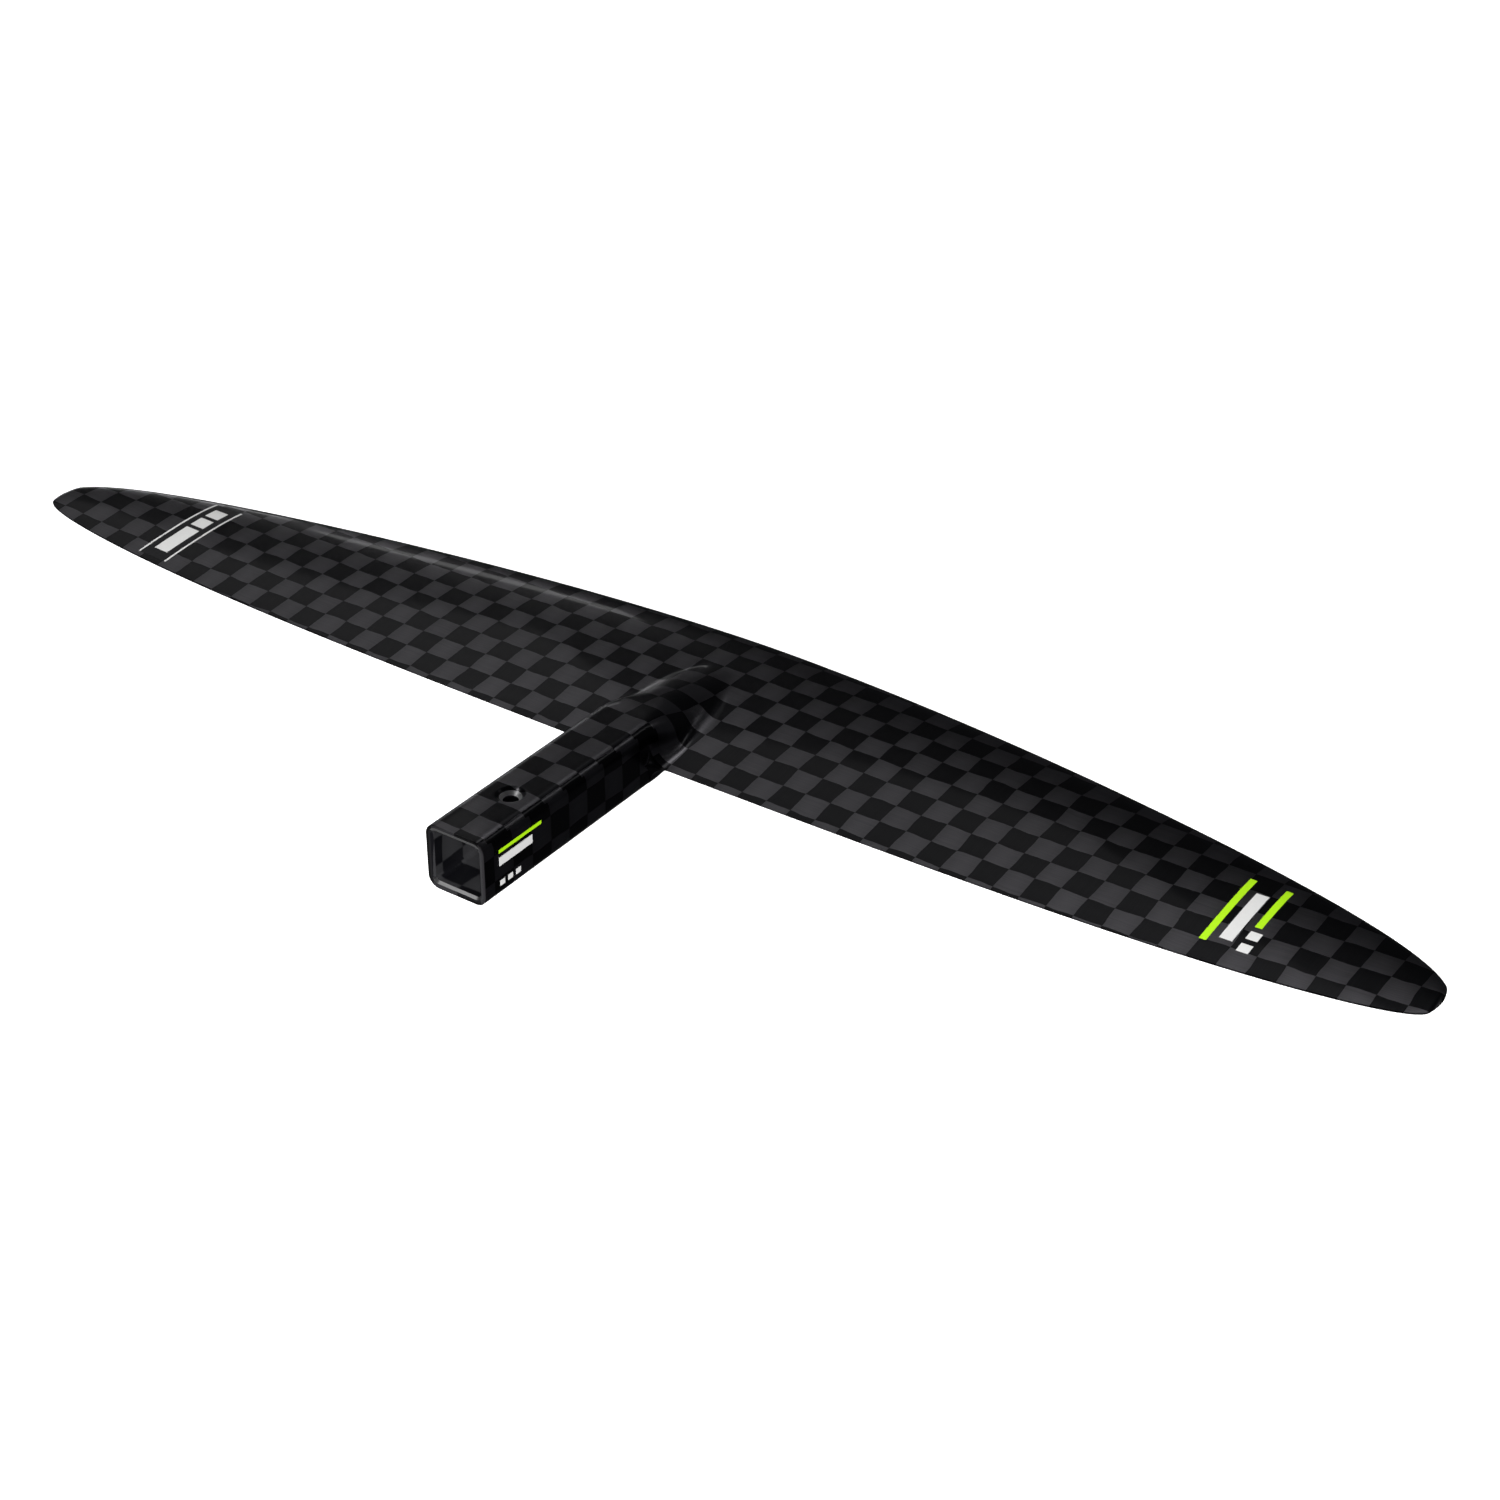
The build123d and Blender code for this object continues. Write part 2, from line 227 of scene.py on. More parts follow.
def fairing_share(y, lengths, side):
    return min(max((y - ROOT_TRAILING_Y) / lengths[side], 0), 1)


def fairing_path(y, side):
    """Half outline of the fairing at y, as (x, height), from the flat's end to past the foot."""
    rounding = min(max((y - ROOT_TRAILING_Y) / ROUNDING_LENGTH, 0), 1)
    flat = LEAST_FLAT + (SOCKET_FLAT - LEAST_FLAT) * (1 - rounding ** FLAT_FALL)
    curve = edge_curve(fairing_share(y, FOOT_LENGTH, side), FOOT_SHAPE)
    foot = FOOT_END + (FOOT_HALF_WIDTH - FOOT_END) * curve
    start = SOCKET_TOP - side * surface_z(0, ROOT_TRAILING_Y, side)
    lift = start * edge_curve(fairing_share(y, FAIRING_LENGTH, side), CROWN_SHAPE)
    top = side * surface_z(0, y, side) + lift
    floor = side * surface_z(foot, y, side)
    end = (max(foot, LEAST_COLUMN_X), side * surface_z(LEAST_COLUMN_X, y, side))
    rise, run = top - floor, foot - flat
    if rise < LEAST_SLOPE:
        return [(flat, top), end]
    turn = min(2 * atan(rise / run), pi / 2)
    total = min(rise / (1 - cos(turn)), run / sin(turn))
    share = min(CONVEX_SHARES[0] + CONVEX_SHARES[1] * rounding, CONVEX_SHARES[2])
    convex, concave = total * share, total * (1 - share)
    path = arc((flat, top - convex), convex, 0, turn)
    path += arc((foot, floor + concave), concave, pi + turn, pi)
    return path + [end] if foot < LEAST_COLUMN_X else path


def socket_path(y, side, inset=0.0):
    """Half outline of the socket at y, from the flat's end down to its seam."""
    run_out = max(1 - (ROOT_TRAILING_Y - y) / FLARE, 0)
    foot = FOOT_HALF_WIDTH - SOCKET_HALF_WIDTH
    web = foot * (1 - sqrt(1 - run_out ** 2))
    edge = side * chord_z(SOCKET_HALF_WIDTH, y) + EDGE_HALF_THICKNESS
    wall = SOCKET_HALF_WIDTH - inset
    corner = SOCKET_CORNER - inset
    path = arc((SOCKET_FLAT, SOCKET_TOP - SOCKET_CORNER), corner, 0, pi / 2)
    if web > 0:
        return path + arc((wall + web, edge + web), web, 1.5 * pi, pi)
    return path + [(wall, edge)]


# ---------------------------------------------------------------- mesh of a skin


class Skin:
    """The mesh of one skin: its outside, and an inside surface that closes it."""

    def __init__(self, side):
        self.side = side
        self.outer = []
        self.inner = {}
        self.thin = set()
        self.faces = []

    def point(self, x, y, out, inner=None):
        """A vertex; out is its height measured outwards."""
        self.outer.append(Vector((x, y, self.side * out)))
        if inner is not None:
            self.inner[len(self.outer) - 1] = Vector(inner)
        return len(self.outer) - 1

    def face(self, *corners):
        corners = list(dict.fromkeys(corners))
        if len(corners) > 2:
            self.faces.append(corners if self.side > 0 else corners[::-1])

    def join(self, behind, ahead):
        """Quads between two rows that run towards +X."""
        for i in range(len(behind) - 1):
            self.face(behind[i], behind[i + 1], ahead[i + 1], ahead[i])

    def normals(self):
        sums = [Vector((0, 0, 0)) for _ in self.outer]
        for corners in self.faces:
            a, b, c = (self.outer[i] for i in (corners[0], corners[1], corners[-1]))
            normal = (b - a).cross(c - a)
            for i in corners:
                sums[i] += normal
        return [n.normalized() for n in sums]

    def inside_point(self, index, normal):
        """The inside's vertex under a vertex of the outside."""
        if index in self.inner:
            return self.inner[index]
        p = self.outer[index]
        thickness = SOCKET_SKIN if p.y < ROOT_TRAILING_Y - FLARE else WING_SKIN
        height = self.side * (p.z - chord_z(p.x, p.y))
        slope = max(self.side * normal.z, LEAST_SLOPE)
        if index in self.thin:
            thickness = min(thickness, EDGE_SKIN)
        elif height > LEVEL:
            thickness = min(thickness, DEEPEST_SHARE * height / slope)
        if height <= LEVEL:
            normal = Vector((normal.x, normal.y, 0)).normalized()
        return p - normal * thickness

    def closed(self):
        """Vertices and faces of the outside, the inside and the rims between them."""
        count = len(self.outer)
        normals = self.normals()
        inside = [self.inside_point(i, normals[i]) for i in range(count)]
        faces = list(self.faces)
        faces += [[i + count for i in reversed(corners)] for corners in self.faces]
        pairs = set()
        for corners in self.faces:
            pairs.update(zip(corners, corners[1:] + corners[:1]))
        for a, b in sorted(pairs):
            if (b, a) not in pairs:
                faces.append([b, a, a + count, b + count])
        return self.outer + inside, faces


def both_sides(half):
    """A row over the whole width from its right half, centre first."""
    return [(-x, out) for x, out in reversed(half[1:])] + half


def wing_rows():
    """Chord fractions from the trailing edge to the nose."""
    steps = [1 - (1 - NOSE_SHARE) * i / CHORD_ROWS for i in range(CHORD_ROWS)]
    return steps + [NOSE_SHARE * (i / NOSE_ROWS) ** 2 for i in range(NOSE_ROWS, -1, -1)]


def flat_columns(end, out):
    return [(end * i / FLAT_COLUMNS, out) for i in range(FLAT_COLUMNS)]


def wing_half_row(back, side):
    """Half row of (x, lift over the wing's surface), from the centre to the tip."""
    y = chord_y(0, back)
    path = resample(fairing_path(y, side), PROFILE_COLUMNS)
    half = flat_columns(path[0][0], path[0][1]) + path
    row = [(x, max(out - side * surface_z(x, y, side), 0)) for x, out in half]
    start = path[-1][0]
    outward = [start + (CENTRE_X - start) * i / OUTER_COLUMNS for i in range(1, OUTER_COLUMNS + 1)]
    span = TIP_X - CENTRE_X
    outward += [CENTRE_X + span * sin(pi / 2 * i / SPAN_COLUMNS) for i in range(1, SPAN_COLUMNS + 1)]
    return row + [(x, 0.0) for x in outward]


def socket_half_row(y, side, inset):
    path = resample(socket_path(y, side, inset), PROFILE_COLUMNS)
    return flat_columns(SOCKET_FLAT, SOCKET_TOP - inset) + path


def add_socket_row(skin, y, inset):
    """A row of the socket, with the seam's vertex at both ends."""
    side = skin.side
    half = socket_half_row(y, side, inset)
    inner = both_sides(socket_half_row(y, side, SOCKET_SKIN)) if y == 0 else None
    row = []
    for i, (x, out) in enumerate(both_sides(half)):
        inside = None
        if inner is not None:
            inside = (inner[i][0], y, side * inner[i][1])
        row.append(skin.point(x, y, out, inside))
    edge_x = half[-1][0]
    seam = side * chord_z(edge_x, y)
    ends = []
    for sign in (-1, 1):
        inside = None
        if inner is not None:
            inside = (sign * (SOCKET_HALF_WIDTH - SOCKET_SKIN), y, side * seam)
        ends.append(skin.point(sign * edge_x, y, seam, inside))
    return [ends[0]] + row + [ends[1]]


def hole_rows():
    """Rows of the socket that frame the screw hole's patch."""
    step = SOCKET_FLAT / FLAT_COLUMNS
    return [SCREW_Y + step * i for i in range(-HOLE_COLUMNS, HOLE_COLUMNS + 1)]


def socket_rows():
    """(y, inset) of the socket's rows, from the mouth to the web's run-out."""
    rows = list(MOUTH_ROUNDING)
    patch = hole_rows()
    y = SOCKET_STEP
    while y < ROOT_TRAILING_Y - FLARE - SOCKET_STEP / 2:
        if y < patch[0] - 1 or y > patch[-1] + 1:
            rows.append((y, 0.0))
        y += SOCKET_STEP
    rows += [(y, 0.0) for y in patch]
    for i in range(FLARE_ROWS):
        angle = pi / 2 * i / FLARE_ROWS
        rows.append((ROOT_TRAILING_Y - FLARE + FLARE * sin(angle), 0.0))
    return sorted(rows)


def add_screw_hole(skin, rows):
    """Fills the square opening in the socket's top with a patch that ends in the countersink."""
    first, last = rows[0], rows[-1]
    square = first + [r[-1] for r in rows[1:]]
    square += last[-2::-1] + [r[0] for r in rows[-2:0:-1]]
    ring = square
    corners = [skin.outer[i] for i in square]
    circle = [Vector((p.x, p.y - SCREW_Y)).normalized() for p in corners]
    floor = SOCKET_TOP - SOCKET_SKIN
    outer_radius = SCREW_HEAD_RADIUS + SCREW_LIP
    for share in PATCH_SHARES:
        following = []
        for p, d in zip(corners, circle):
            x = p.x + (d.x * outer_radius - p.x) * share
            y = p.y + (SCREW_Y + d.y * outer_radius - p.y) * share
            following.append(skin.point(x, y, SOCKET_TOP, (x, y, floor)))
        ring = close_ring(skin, ring, following)
    for radius in (SCREW_HEAD_RADIUS, SCREW_CONE_END):
        out = SOCKET_TOP - SCREW_LIP / 3 - (SCREW_HEAD_RADIUS - radius)
        following = []
        for d in circle:
            x, y = d.x * radius, SCREW_Y + d.y * radius
            following.append(skin.point(x, y, out, (x, y, floor)))
        ring = close_ring(skin, ring, following)


def close_ring(skin, outside, inside):
    for i in range(len(outside)):
        k = (i + 1) % len(outside)
        skin.face(outside[i], outside[k], inside[k], inside[i])
    return inside


def add_wing(skin):
    """The wing with its fairing, as rows from the trailing edge to the nose."""
    side = skin.side
    grid = []
    for back in wing_rows():
        row = []
        for x, lift in both_sides(wing_half_row(back, side)):
            y = chord_y(x, back)
            row.append(skin.point(x, y, side * surface_z(x, y, side) + lift))
        grid.append(row)
    for behind, ahead in zip(grid, grid[1:]):
        skin.join(behind, ahead)
    return grid


def add_trailing_edge(skin, tail):
    """The narrow face at the trailing edge; gives back the row that the socket runs into."""
    last = len(tail) - 1
    foot = last // 2 - FLAT_COLUMNS - PROFILE_COLUMNS
    edges = {}
    for i, index in enumerate(tail):
        if i <= foot or i >= last - foot:
            p = skin.outer[index]
            tip = i in (0, last)
            edges[i] = index if tip else skin.point(p.x, p.y, skin.side * chord_z(p.x, p.y))
            skin.thin.add(edges[i])
    for columns in (range(foot), range(last - foot, last)):
        for i in columns:
            skin.face(edges[i], edges[i + 1], tail[i + 1], tail[i])
    return [edges[foot]] + tail[foot:last - foot + 1] + [edges[last - foot]]


def add_socket(skin, end_row):
    """One half of the socket, from the mouth to the trailing edge, with its screw hole."""
    patch = set(hole_rows()) if skin.side > 0 else set()
    left, right = len(end_row) // 2 - HOLE_COLUMNS, len(end_row) // 2 + HOLE_COLUMNS
    opening = []
    behind, behind_y = None, None
    for y, inset in socket_rows():
        row = add_socket_row(skin, y, inset)
        if y > ROOT_TRAILING_Y - FLARE:
            skin.thin.update((row[0], row[-1]))
        if behind is not None:
            if y in patch and behind_y in patch:
                skin.join(behind[:left + 1], row[:left + 1])
                skin.join(behind[right:], row[right:])
            else:
                skin.join(behind, row)
        if y in patch:
            opening.append(row[left:right + 1])
        behind, behind_y = row, y
    skin.join(behind, end_row)
    if opening:
        add_screw_hole(skin, opening)


def build_skin(side):
    """The upper or the lower skin with its half of the socket and its fairing."""
    skin = Skin(side)
    grid = add_wing(skin)
    add_socket(skin, add_trailing_edge(skin, grid[0]))
    for row in grid:
        skin.thin.update((row[0], row[-1]))
    return skin.closed()


SHARP_ANGLE = radians(35.0)


def add_mesh(name, points, faces, material):
    """A mesh object from points in millimetres, smooth except at sharp edges."""
    mesh = bpy.data.meshes.new(name)
    mesh.from_pydata([tuple(c * MM for c in p) for p in points], [], faces)
    mesh.validate()
    mesh.shade_smooth()
    mesh.set_sharp_from_angle(angle=SHARP_ANGLE)
    mesh.materials.append(material)
    obj = bpy.data.objects.new(name, mesh)
    bpy.context.scene.collection.objects.link(obj)
    return obj


# ---------------------------------------------------------------- materials


WEAVE_PITCH = 12.06 * MM     # width of the spread tows
WEAVE_Y = 112.46 * MM        # a line of the weave on the top
WALL_WEAVE_Y = 114.2 * MM    # a line of the weave on the socket's side walls
WALL_WEAVE_Z = 6.8 * MM
WALL_WEAVE_END = 114.0 * MM  # ahead of this the top's weave runs down the fairing
WALL_NORMAL_X = 0.8          # steeper than this is a side wall

# Places on the sleeve, whose bevel and countersink are polished.
COUNTERSINK_Z = 12.3 * MM    # above this the sleeve shows only in the screw hole
COUNTERSINK_NORMAL_Z = 0.9   # flatter than this is not the countersink
LIP_END = 1.05 * MM          # the bevel round the sleeve's mouth ends here
LIP_NORMAL_Z = 0.2
POLISH = (0.75, 0.75, 0.75)

# Irregularities of the weave, and a painted shade along each tow: noise scales are per metre, lengths
# and shades per tow.
WANDER = 0.22
WANDER_SCALES = (45.0, 61.0)
FIBRE_LENGTH_SCALE = 0.35
FIBRE_WIDTH_SCALE = 22.0
GAP_SHARPNESS = 9.0
# Painted shade and highlight along each tow: darker at its ends, lighter at its crest.
CREST_PAINTED_SHADES = (0.88, 1.06)
GAP_SHADES = (0.8, 1.0)
FIBRE_SHADES = (0.78, 1.22)
TOW_SHADES = (0.93, 1.07)
CREST_HEIGHT = 0.6
FIBRE_HEIGHT = 0.25
WEAVE_BUMP = (0.25, 0.04 * MM)       # strength and depth


class Nodes:
    """A material's node tree with short ways to add nodes to it."""

    def __init__(self, name):
        self.material = bpy.data.materials.new(name)
        self.material.use_nodes = True
        self.tree = self.material.node_tree
        self.shader = self.tree.nodes["Principled BSDF"]

    def link(self, value, socket):
        if isinstance(value, bpy.types.NodeSocket):
            self.tree.links.new(value, socket)
        else:
            socket.default_value = value

    def add(self, kind, **inputs):
        node = self.tree.nodes.new("ShaderNode" + kind)
        for name, value in inputs.items():
            self.link(value, node.inputs[name])
        return node

    def math(self, operation, *values):
        node = self.tree.nodes.new("ShaderNodeMath")
        node.operation = operation
        for value, socket in zip(values, node.inputs):
            self.link(value, socket)
        return node.outputs[0]

    def mix(self, factor, a, b):
        """Two numbers mixed by a factor."""
        node = self.tree.nodes.new("ShaderNodeMix")
        node.data_type = "FLOAT"
        for value, socket in zip((factor, a, b), node.inputs[0:1] + node.inputs[2:4]):
            self.link(value, socket)
        return node.outputs[0]

    def mix_colour(self, factor, a, b):
        node = self.tree.nodes.new("ShaderNodeMix")
        node.data_type = "RGBA"
        for value, name in ((factor, 0), (a, 6), (b, 7)):
            self.link(value, node.inputs[name])
        return node.outputs[2]

    def vector(self, x, y, z=0.0):
        return self.add("CombineXYZ", X=x, Y=y, Z=z).outputs[0]

    def noise(self, vector, scale, detail=2.0):
        node = self.add("TexNoise", Vector=vector, Scale=scale, Detail=detail)
        return node.outputs["Fac"]

    def coordinates(self):
        """The object's X, Y and Z, and its normal's X and Z, all in the shared frame."""
        source = self.add("TexCoord")
        place = self.add("SeparateXYZ", Vector=source.outputs["Object"])
        normal = self.add("SeparateXYZ", Vector=source.outputs["Normal"])
        return (*place.outputs, normal.outputs[0], normal.outputs[2])

    def set(self, **values):
        for name, value in values.items():
            self.link(value, self.shader.inputs[name.replace("_", " ")])

    def bump(self, height, strength, distance):
        node = self.add("Bump", Strength=strength, Distance=distance, Height=height)
        self.link(node.outputs[0], self.shader.inputs["Normal"])


def spread_tow_carbon(name, light, dark, roughness, bare=False):
    """Wide flat tows woven over and under each other, under a clear coat.

    Bare carbon, inside the socket, is dull but for its polished bevel and countersink.
    """
    n = Nodes(name)
    x, y, z, normal_x, normal_z = n.coordinates()
    source = n.add("TexCoord").outputs["Object"]
    wander, wander_across = (
        n.math("MULTIPLY", n.math("SUBTRACT", n.noise(source, scale), 0.5), WANDER)
        for scale in WANDER_SCALES)

    def tows(place, line):
        return n.math("DIVIDE", n.math("SUBTRACT", place, line), WEAVE_PITCH)

    def fibres_along(length, width):
        scaled = n.vector(n.math("MULTIPLY", u, length), n.math("MULTIPLY", v, width))
        return n.noise(scaled, 1.0)

    steep = n.math("GREATER_THAN", n.math("ABSOLUTE", normal_x), WALL_NORMAL_X)
    wall = n.math("MULTIPLY", steep, n.math("LESS_THAN", y, WALL_WEAVE_END))
    u = n.math("ADD", n.mix(wall, tows(x, 0.0), tows(y, WALL_WEAVE_Y)), wander)
    v = n.math("ADD", n.mix(wall, tows(y, WEAVE_Y), tows(z, WALL_WEAVE_Z)), wander_across)
    cell = n.math("ADD", n.math("FLOOR", u), n.math("FLOOR", v))
    over = n.math("FLOORED_MODULO", n.math("ADD", cell, wall), 2.0)
    along = n.mix(over, n.math("FRACT", v), n.math("FRACT", u))
    across = n.mix(over, n.math("FRACT", u), n.math("FRACT", v))
    fibres_u = fibres_along(FIBRE_LENGTH_SCALE, FIBRE_WIDTH_SCALE)
    fibres_v = fibres_along(FIBRE_WIDTH_SCALE, FIBRE_LENGTH_SCALE)
    fibres = n.mix(over, fibres_v, fibres_u)
    number = n.add("TexWhiteNoise", Vector=n.vector(n.math("FLOOR", u), n.math("FLOOR", v)))
    crest = n.math("SINE", n.math("MULTIPLY", along, pi))
    gap = n.math("SINE", n.math("MULTIPLY", across, pi))
    edge = n.math("MINIMUM", n.math("MULTIPLY", gap, GAP_SHARPNESS), 1.0)
    # The crest factor paints shade and highlight: each tow is lighter at its crest and darker at its
    # ends, where it dips under the crossing tow.
    shade = n.math("MULTIPLY", n.mix(crest, *CREST_PAINTED_SHADES), n.mix(edge, *GAP_SHADES))
    shade = n.math("MULTIPLY", shade, n.mix(fibres, *FIBRE_SHADES))
    shade = n.math("MULTIPLY", shade, n.mix(number.outputs["Value"], *TOW_SHADES))
    colour = n.mix_colour(over, (*dark, 1), (*light, 1))
    scaled = n.add("VectorMath", Vector=colour)
    scaled.operation = "SCALE"
    n.link(shade, scaled.inputs["Scale"])
    base, metallic = scaled.outputs[0], 1.0
    if bare:
        slanted = n.math("LESS_THAN", n.math("ABSOLUTE", normal_z), COUNTERSINK_NORMAL_Z)
        countersink = n.math("MULTIPLY", slanted, n.math("GREATER_THAN", z, COUNTERSINK_Z))
        facing_up = n.math("GREATER_THAN", normal_z, LIP_NORMAL_Z)
        lip = n.math("MULTIPLY", facing_up, n.math("LESS_THAN", y, LIP_END))
        metallic = n.math("MAXIMUM", countersink, lip)
        base = n.mix_colour(metallic, base, (*POLISH, 1))
    n.set(Base_Color=base, Metallic=metallic,
          Roughness=n.mix(fibres, roughness, roughness + 0.06),
          Coat_Weight=0.35, Coat_Roughness=0.06)
    crests = n.math("MULTIPLY", crest, CREST_HEIGHT)
    height = n.math("ADD", crests, n.math("MULTIPLY", fibres, FIBRE_HEIGHT))
    n.bump(height, *WEAVE_BUMP)
    return n.material


def unidirectional_carbon(name):
    """Straight fibres along the span."""
    n = Nodes(name)
    x, y, z, _, _ = n.coordinates()
    scaled = n.vector(n.math("MULTIPLY", x, 30.0), n.math("MULTIPLY", y, 3000.0), z)
    fibres = n.noise(scaled, 1.0, 4.0)
    n.set(Base_Color=n.mix_colour(fibres, (0.02, 0.02, 0.022, 1), (0.09, 0.09, 0.095, 1)),
          Metallic=0.6, Roughness=n.mix(fibres, 0.35, 0.5))
    n.bump(fibres, 0.4, 0.00005)
    return n.material


def foam(name, light, dark, cells):
    """Closed cell foam or filler, with its cells as small pits."""
    n = Nodes(name)
    source = n.add("TexCoord").outputs["Object"]
    pits = n.add("TexVoronoi", Vector=source, Scale=cells).outputs["Distance"]
    clouds = n.noise(source, 60.0)
    share = n.math("MULTIPLY", n.math("ADD", pits, clouds), 0.6)
    n.set(Base_Color=n.mix_colour(share, (*dark, 1), (*light, 1)),
          Roughness=n.mix(clouds, 0.75, 0.95))
    n.bump(pits, 0.5, 0.0002)
    return n.material


def balsa(name):
    """End grain balsa: rays and vessels run up through the web."""
    n = Nodes(name)
    x, y, z, _, _ = n.coordinates()
    scaled = [n.math("MULTIPLY", place, scale) for place, scale in ((x, 900.0), (y, 900.0), (z, 40.0))]
    grain = n.noise(n.vector(*scaled), 1.0, 4.0)
    n.set(Base_Color=n.mix_colour(grain, (0.42, 0.26, 0.12, 1), (0.74, 0.56, 0.34, 1)),
          Roughness=n.mix(grain, 0.6, 0.85))
    n.bump(grain, 0.4, 0.0002)
    return n.material


def print_film(name, colour, roughness):
    """Printed film under the clear coat: an even ink with a fine dot and slight mottling."""
    n = Nodes(name)
    source = n.add("TexCoord").outputs["Object"]
    mottle = n.noise(source, 500.0, 3.0)
    clouds = n.noise(source, 90.0)
    ink = n.mix_colour(mottle, tuple(c * 0.93 for c in colour) + (1,), (*colour, 1))
    n.set(Base_Color=ink, Roughness=n.mix(clouds, roughness, roughness + 0.1),
          Coat_Weight=0.3, Coat_Roughness=0.15)
    n.bump(mottle, 0.1, 0.00002)
    return n.material


carbon = spread_tow_carbon(
    "spread_tow_carbon", light=(0.19, 0.185, 0.2), dark=(0.025, 0.025, 0.028), roughness=0.27)
sleeve_carbon = spread_tow_carbon(
    "sleeve_carbon", light=(0.026, 0.026, 0.028), dark=(0.004, 0.004, 0.005), roughness=0.4, bare=True)
spar_carbon = unidirectional_carbon("spar_carbon")
core_foam = foam("core_foam", (0.80, 0.76, 0.62), (0.62, 0.56, 0.42), 1400.0)
core_filler = foam("core_filler", (0.30, 0.30, 0.31), (0.16, 0.16, 0.17), 2500.0)
web_balsa = balsa("web_balsa")
film_black = print_film("film_black", (0.006, 0.006, 0.007), 0.45)
film_white = print_film("film_white", (0.74, 0.74, 0.73), 0.4)
film_lime = print_film("film_lime", (0.45, 0.86, 0.01), 0.4)


# ---------------------------------------------------------------- pieces


for part_name, side in (("upper", 1), ("lower", -1)):
    shell = add_mesh(part_name + "_shell", *build_skin(side), carbon)
    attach(shell, "root")
    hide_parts(part_name + "_skin")

FILM_LIFT = 0.05
FILM_SINK = 0.05
OVERPRINT = 0.03             # what is printed on the black band stands this much higher
FILM_STEP = 2.0


def film_mesh(bars, raised):
    """Thin closed sheets that follow the wing's upper surface, one for each bar."""
    points, faces = [], []
    for (left, right), (rear, front) in bars:
        across = max(round((right - left) / FILM_STEP), 2)
        down = max(round((front - rear) / FILM_STEP), 2)
        base = len(points)
        for lift in (FILM_LIFT + raised, raised - FILM_SINK):
            for j in range(down + 1):
                for i in range(across + 1):
                    x = left + (right - left) * i / across
                    y = rear + (front - rear) * j / down
                    points.append((x, y, surface_z(x, y, 1) + lift))
        width = across + 1
        layer = width * (down + 1)
        for j in range(down):
            for i in range(across):
                a = base + j * width + i
                faces.append([a, a + 1, a + 1 + width, a + width])
                faces.append([a + layer + width, a + layer + width + 1, a + layer + 1, a + layer])
        rim = [base + i for i in range(width)]
        rim += [base + j * width + across for j in range(1, down + 1)]
        rim += [base + down * width + i for i in range(across - 1, -1, -1)]
        rim += [base + j * width for j in range(down - 1, 0, -1)]
        for a, b in zip(rim, rim[1:] + rim[:1]):
            faces.append([b, a, a + layer, b + layer])
    return points, faces


WING_MARKS = {
    "band_black": (film_black, "print_black", [((-292.0, -277.0), (117.0, 170.0))]),
    "band_lines_white": (film_white, "print_white", [
        ((-293.2, -292.2), (117.0, 170.0)),
        ((-276.8, -275.8), (117.0, 170.0)),
    ]),
    "band_bars_white": (film_white, "print_white", [
        ((-288.5, -280.5), (123.0, 145.0)),
        ((-288.5, -280.5), (147.5, 155.0)),
        ((-288.5, -280.5), (157.5, 165.0)),
    ]),
    "wing_bars_lime": (film_lime, "print_lime", [
        ((265.0, 268.0), (124.0, 168.0)),
        ((280.5, 283.5), (140.0, 168.0)),
    ]),
    "wing_bars_white": (film_white, "print_white", [
        ((271.5, 277.0), (128.0, 160.0)),
        ((280.5, 285.5), (124.0, 129.0)),
        ((280.5, 285.5), (132.0, 137.0)),
    ]),
}
for node, (material, slot_name, bars) in WING_MARKS.items():
    raised = OVERPRINT if node == "band_bars_white" else 0.0
    film = add_mesh(node + "_film", *film_mesh(bars, raised), material)
    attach(film, "root")
    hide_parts(node)

CAD_MATERIALS = {
    "socket_sleeve": sleeve_carbon,
    "socket_end_plug": core_filler,
    "fairing_core_upper": core_filler,
    "fairing_core_lower": core_filler,
    "shear_web": web_balsa,
    "spar_cap_upper": spar_carbon,
    "spar_cap_lower": spar_carbon,
    "socket_bar_lime": film_lime,
    "socket_bars_white": film_white,
}
for half in ("left", "right"):
    CAD_MATERIALS["tip_block_" + half] = core_filler
    CAD_MATERIALS["tail_strip_" + half] = core_filler
    CAD_MATERIALS["nose_strip_" + half] = core_filler
    CAD_MATERIALS["rear_core_" + half] = core_foam
    CAD_MATERIALS["front_core_" + half] = core_foam
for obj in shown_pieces():
    if obj.get("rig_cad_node") in CAD_MATERIALS:
        for slot in obj.material_slots:
            slot.material = CAD_MATERIALS[obj["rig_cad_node"]]


# ---------------------------------------------------------------- camera, floor and lights


CAMERA_PLACE = (0.62128, -0.69644, 0.62822)
CAMERA_TURN = (58.2289, -0.3020, 34.7470)    # degrees about X, Y and Z
FILM_WIDTH = 36.0
FOCAL_LENGTH = 67.56

camera_data = bpy.data.cameras.new("camera")
camera_data.sensor_width = FILM_WIDTH
camera_data.lens = FOCAL_LENGTH
camera_data.clip_start = 0.01
camera_data.clip_end = 50.0
camera = bpy.data.objects.new("camera", camera_data)
bpy.context.scene.collection.objects.link(camera)
axes = Euler([radians(angle) for angle in CAMERA_TURN]).to_matrix().to_4x4()
camera.matrix_world = Matrix.Translation(CAMERA_PLACE) @ axes
bpy.context.scene.camera = camera

FLOOR_DROP = 0.25            # below the wing, so that no shadow falls near it
FLOOR_SIZE = 12.0
SWEEP_RADIUS = 9.0           # a round backdrop for the views that look past the floor
PAPER = (0.95, 0.95, 0.95)


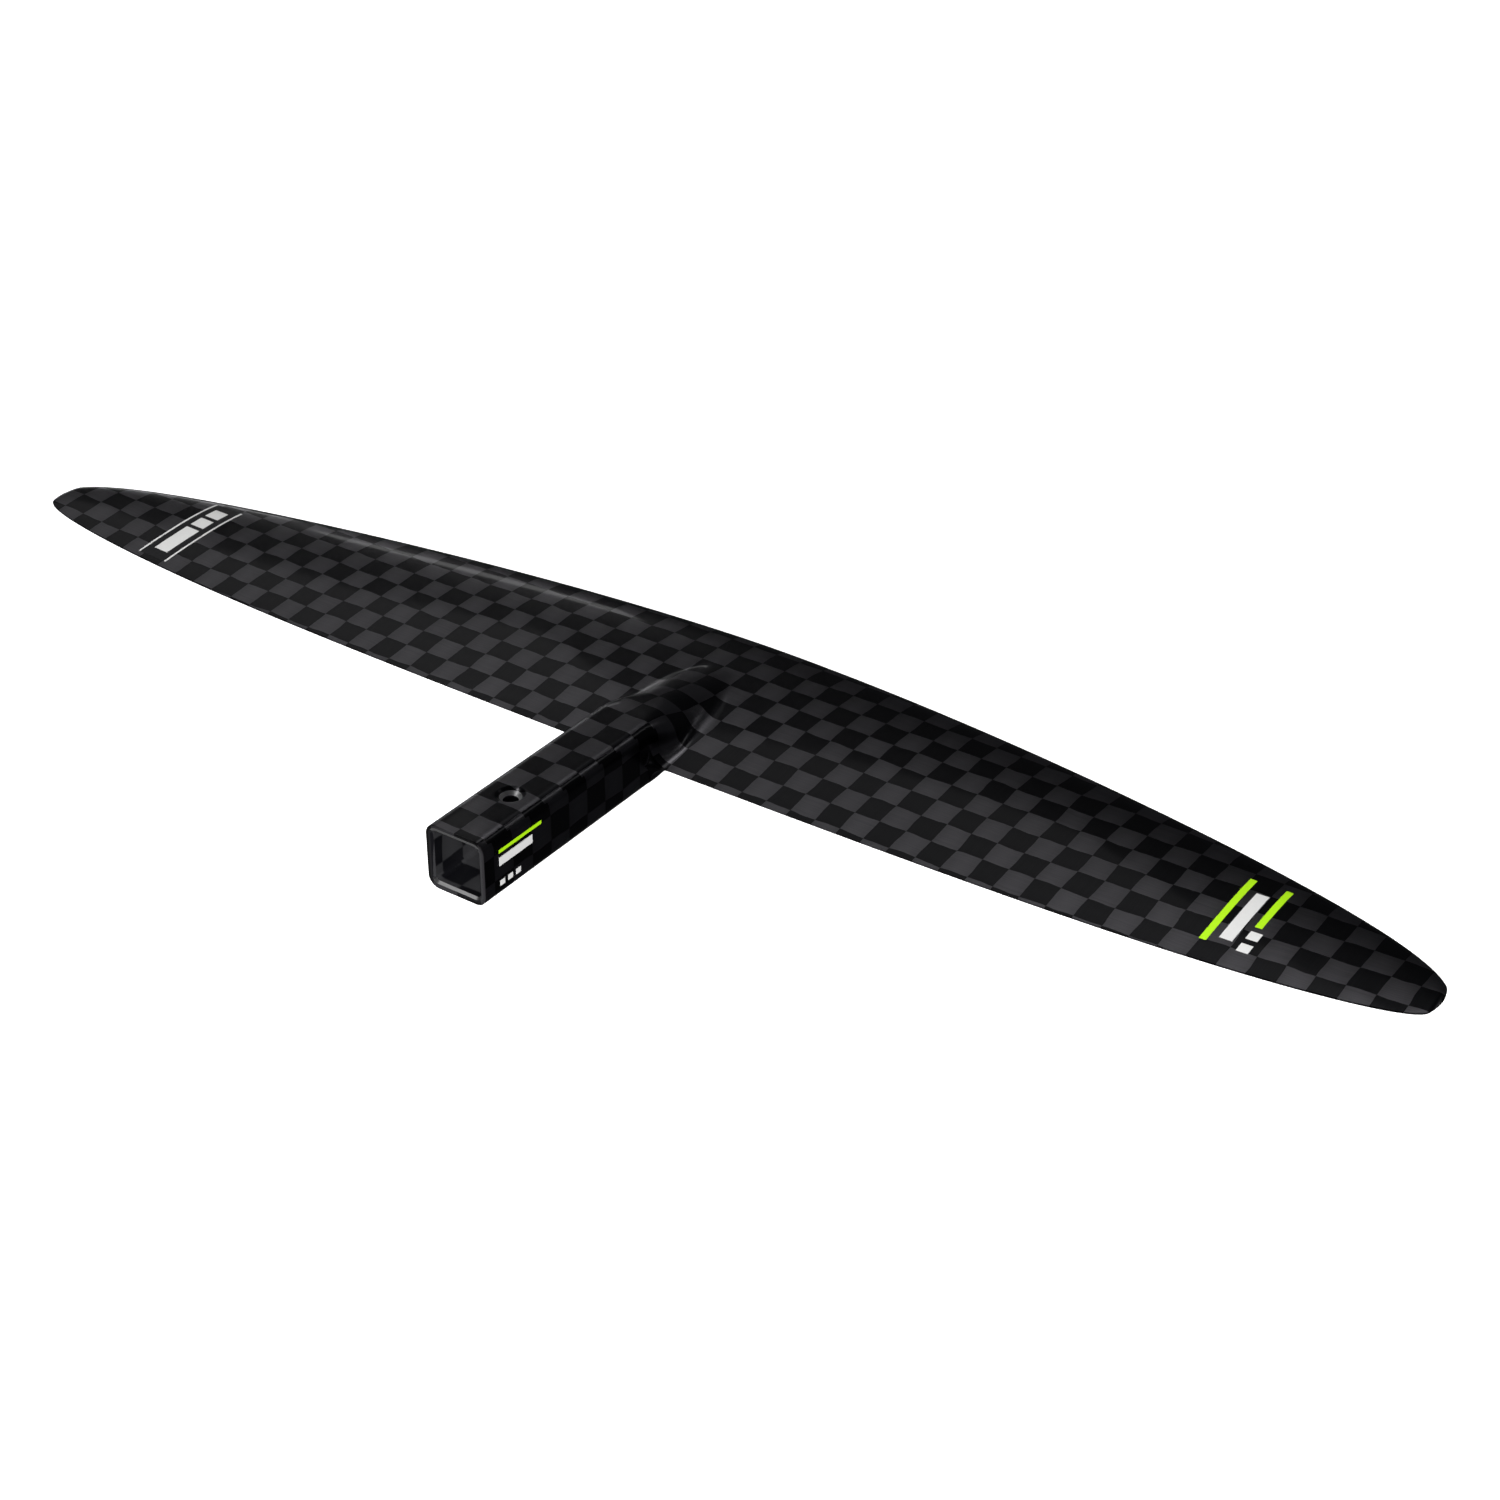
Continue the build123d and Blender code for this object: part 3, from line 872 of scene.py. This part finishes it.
def stage_material(name, colour, glow, see_through_back):
    """Pale paper that glows, so that it stays even and bright."""
    n = Nodes(name)
    source = n.add("TexCoord").outputs["Object"]
    grain = n.noise(source, 3.0)
    paper = n.mix_colour(grain, tuple(c * 0.995 for c in colour) + (1,), (*colour, 1))
    n.set(Base_Color=paper, Roughness=1.0, Specular_IOR_Level=0.0,
          Emission_Color=(1.0, 1.0, 1.0, 1.0), Emission_Strength=glow)
    if see_through_back:
        clear = n.add("BsdfTransparent")
        switch = n.tree.nodes.new("ShaderNodeMixShader")
        n.link(n.add("NewGeometry").outputs["Backfacing"], switch.inputs[0])
        n.link(n.shader.outputs[0], switch.inputs[1])
        n.link(clear.outputs[0], switch.inputs[2])
        n.link(switch.outputs[0], n.tree.nodes["Material Output"].inputs["Surface"])
    return n.material


def camera_only(obj):
    """The stage stays out of the object's reflections, as black flags do in a studio."""
    obj.visible_glossy = False
    obj.visible_diffuse = False
    obj.visible_shadow = False


floor_z = cad_low.z - FLOOR_DROP
half_floor = FLOOR_SIZE / 2
floor_mesh = bpy.data.meshes.new("floor")
floor_mesh.from_pydata(
    [(-half_floor, -half_floor, floor_z), (half_floor, -half_floor, floor_z),
     (half_floor, half_floor, floor_z), (-half_floor, half_floor, floor_z)], [], [(0, 1, 2, 3)])
floor_mesh.materials.append(stage_material("floor_paper", PAPER, 0.95, True))
floor = bpy.data.objects.new("floor", floor_mesh)
bpy.context.scene.collection.objects.link(floor)
camera_only(floor)

sweep_mesh = bpy.data.meshes.new("sweep")
shape = bmesh.new()
bmesh.ops.create_icosphere(shape, subdivisions=4, radius=SWEEP_RADIUS)
shape.to_mesh(sweep_mesh)
shape.free()
sweep_mesh.materials.append(stage_material("sweep_paper", PAPER, 1.0, False))
sweep = bpy.data.objects.new("sweep", sweep_mesh)
bpy.context.scene.collection.objects.link(sweep)
camera_only(sweep)

world = bpy.data.worlds.new("studio")
world.use_nodes = True
background = world.node_tree.nodes["Background"]
background.inputs["Color"].default_value = (0.02, 0.02, 0.022, 1)
bpy.context.scene.world = world
bpy.context.scene.view_settings.view_transform = "Standard"

AIM = Vector((0.0, 0.13, 0.0))       # the wing's middle, which every light faces


def softbox(name, azimuth, elevation, distance, width, height, radiance):
    """A rectangular light in metres; its azimuth, in degrees, goes from +Y towards -X."""
    light = bpy.data.lights.new(name, "AREA")
    light.shape = "RECTANGLE"
    light.size = width
    light.size_y = height
    light.energy = radiance * pi * width * height
    obj = bpy.data.objects.new(name, light)
    a, e = radians(azimuth), radians(elevation)
    away = Vector((-sin(a) * cos(e), cos(a) * cos(e), sin(e)))
    obj.location = AIM + away * distance
    obj.rotation_mode = "QUATERNION"
    obj.rotation_quaternion = away.to_track_quat("Z", "Y")
    bpy.context.scene.collection.objects.link(obj)
    return obj


softbox("high_softbox", 43, 51, 2.4, 1.3, 0.9, 0.22)
softbox("left_softbox", 54, 37, 2.4, 0.75, 0.3, 0.28)
softbox("edge_strip", 40, 20, 3.0, 0.47, 0.17, 1.4)
softbox("side_strip", 53, 9, 3.0, 0.95, 0.22, 1.7)
softbox("foot_strip", 12, 61, 2.4, 0.5, 0.6, 1.5)
softbox("ridge_strip", -30, 42, 2.4, 0.15, 0.6, 1.2)
softbox("rear_softbox", 138, 46, 2.0, 0.45, 0.45, 4.0)
softbox("bounce_card", 150, -32, 1.6, 1.0, 0.6, 0.2)
softbox("behind_fill", -138, 26, 3.0, 2.0, 1.0, 0.2)
softbox("under_fill", 60, -56, 2.4, 1.6, 1.0, 0.12)

# This one only brightens the prints; the carbon doesn't mirror it.
key = softbox("print_key", -150, 25, 2.4, 1.0, 1.0, 38.0)
key.visible_glossy = False
